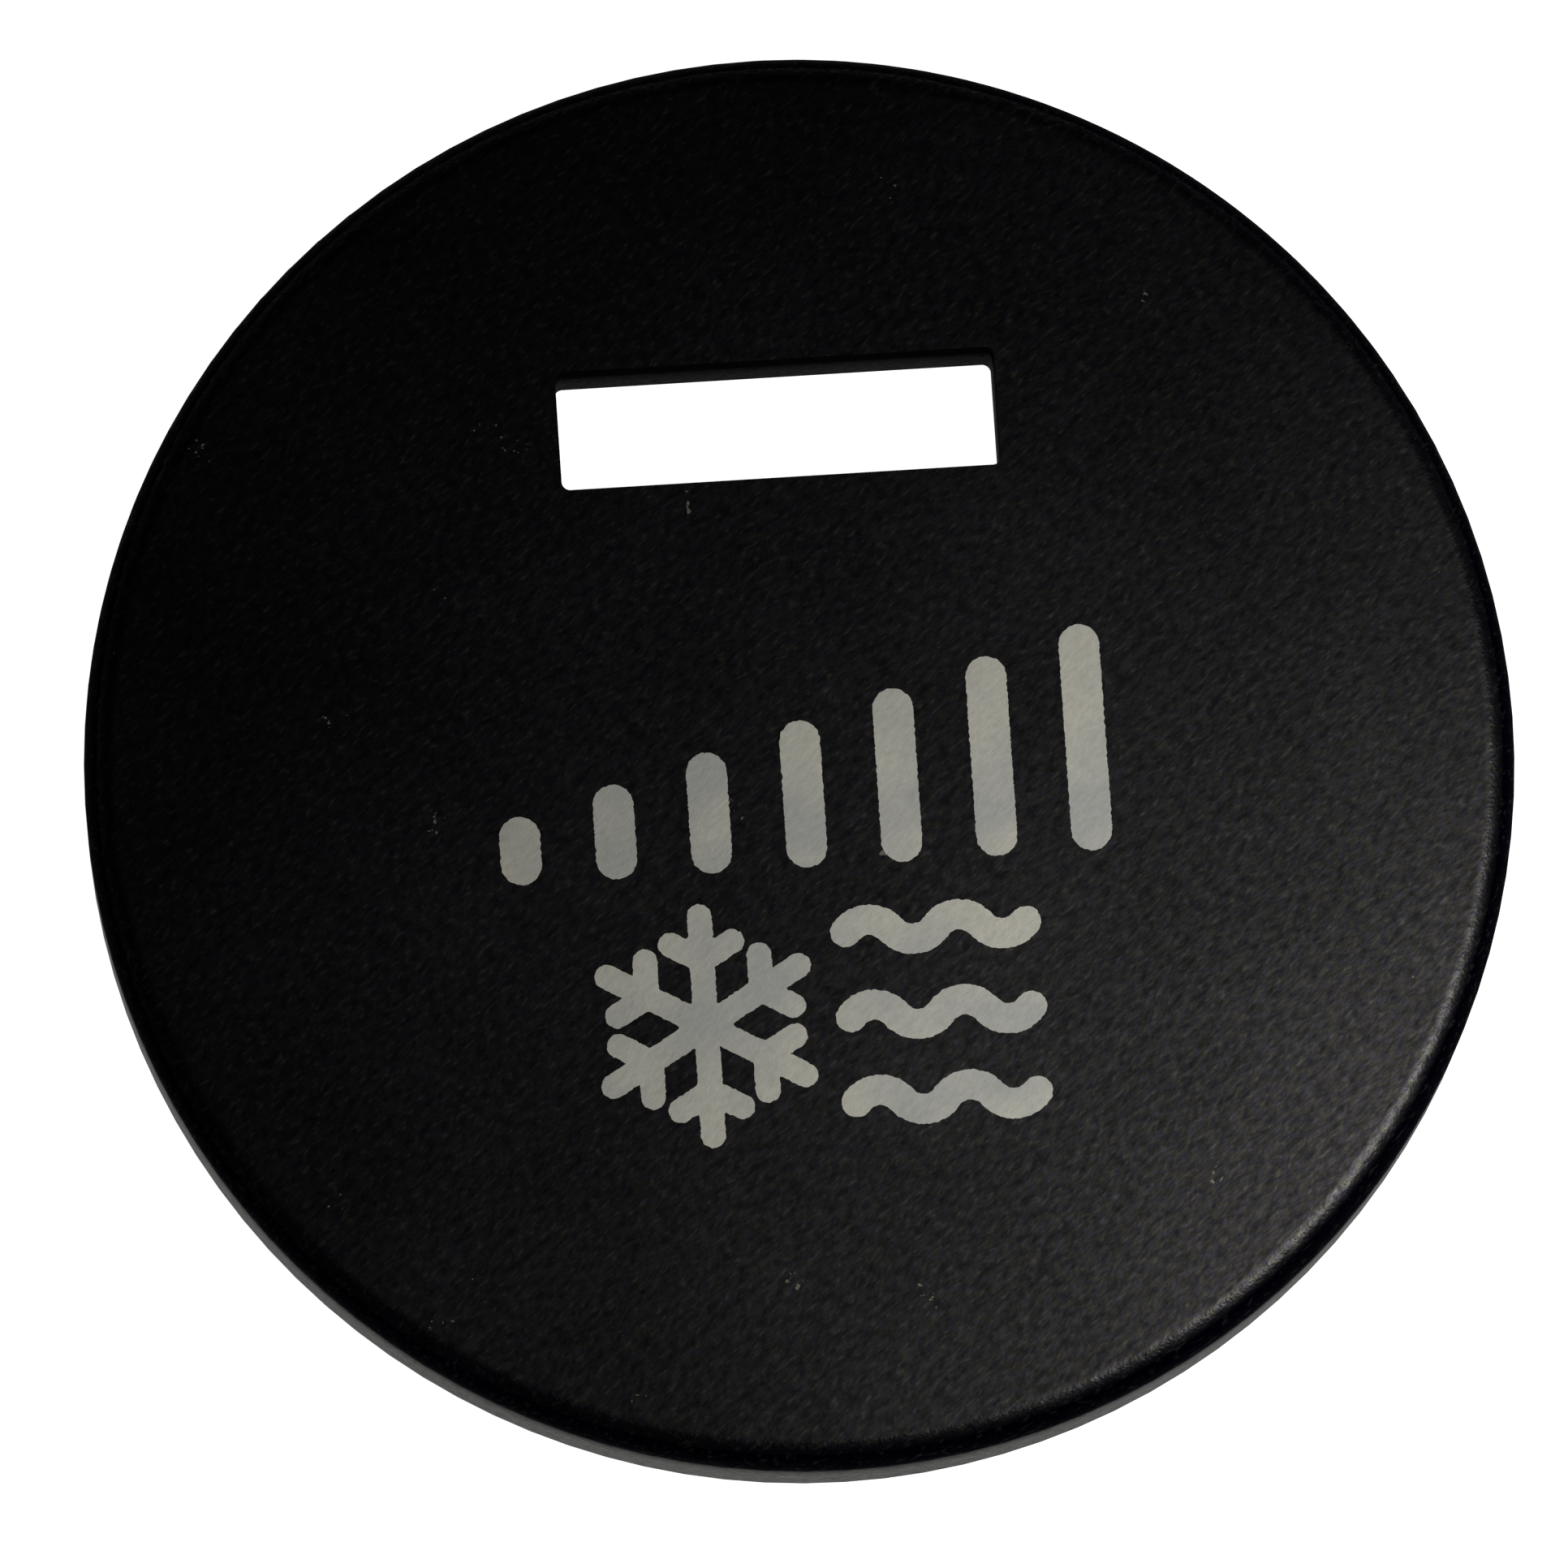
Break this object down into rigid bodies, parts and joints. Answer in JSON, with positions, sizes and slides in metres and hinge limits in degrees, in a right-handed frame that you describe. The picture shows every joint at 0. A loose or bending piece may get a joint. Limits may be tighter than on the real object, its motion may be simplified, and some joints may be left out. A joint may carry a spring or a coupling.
{
  "type": "illuminated round push button",
  "caption": "Round black push button with a slot, a pictogram legend and a sprung snap-in carrier in a short barrel.",
  "frame": {"origin": "centre of the flat rear face", "axes": "+Z out of the button's face, +Y from the legend towards the indicator slot, +X to the right of the legend"},
  "size_m": [0.025, 0.025, 0.014],
  "materials": {
    "cap_black": "fine satin grain, near black",
    "diffuser_milky": "translucent milky white",
    "guide_milky": "translucent milky white, lit",
    "carrier_ivory": "satin acetal",
    "carbon_rubber": "conductive rubber",
    "barrel_black": "fine spark texture",
    "reflector_white": "bright white",
    "silicone_clear": "translucent silicone",
    "board_green": "solder mask over glass fibre",
    "pad_gold": "gold-plated copper",
    "lamp_white": "moulded white",
    "lamp_lens": "clear resin with yellow phosphor",
    "tin": "tinned",
    "chip_black": "glazed",
    "chip_tan": "fired ceramic",
    "header_natural": "natural nylon",
    "pin_tin": "tin over brass",
    "cover_black": "fine spark texture",
    "screw_zinc": "zinc plated"
  },
  "bodies": {
    "housing": {"barrel": "barrel_black", "reflector_box": "reflector_white", "silicone_domes": "silicone_clear", "dome_mat": "silicone_clear", "circuit_board": "board_green", "contact_pads": "pad_gold", "legend_lamp_bodies": "lamp_white", "legend_lamp_lenses": "lamp_lens", "indicator_lamp_body": "lamp_white", "indicator_lamp_lens": "lamp_lens", "lamp_leads": "tin", "chip_resistors": "chip_black", "chip_capacitor": "chip_tan", "chip_end_caps": "tin", "connector_header": "header_natural", "connector_pins": "pin_tin", "solder_joints": "tin", "rear_cover": "cover_black", "cover_screws": "screw_zinc"},
    "button": {"button_cap": "cap_black", "legend_diffuser": "diffuser_milky", "indicator_light_guide": "guide_milky", "cap_carrier": "carrier_ivory", "carbon_pills": "carbon_rubber"}
  },
  "joints": [
    {"name": "button_travel", "type": "slide", "parent": "housing", "child": "button", "axis": [0, 0, -1], "range_m": [0, 0.0015], "stiffness_N_per_m": 1000, "springref_m": -0.0008, "deforming": ["silicone_domes"]}
  ]
}
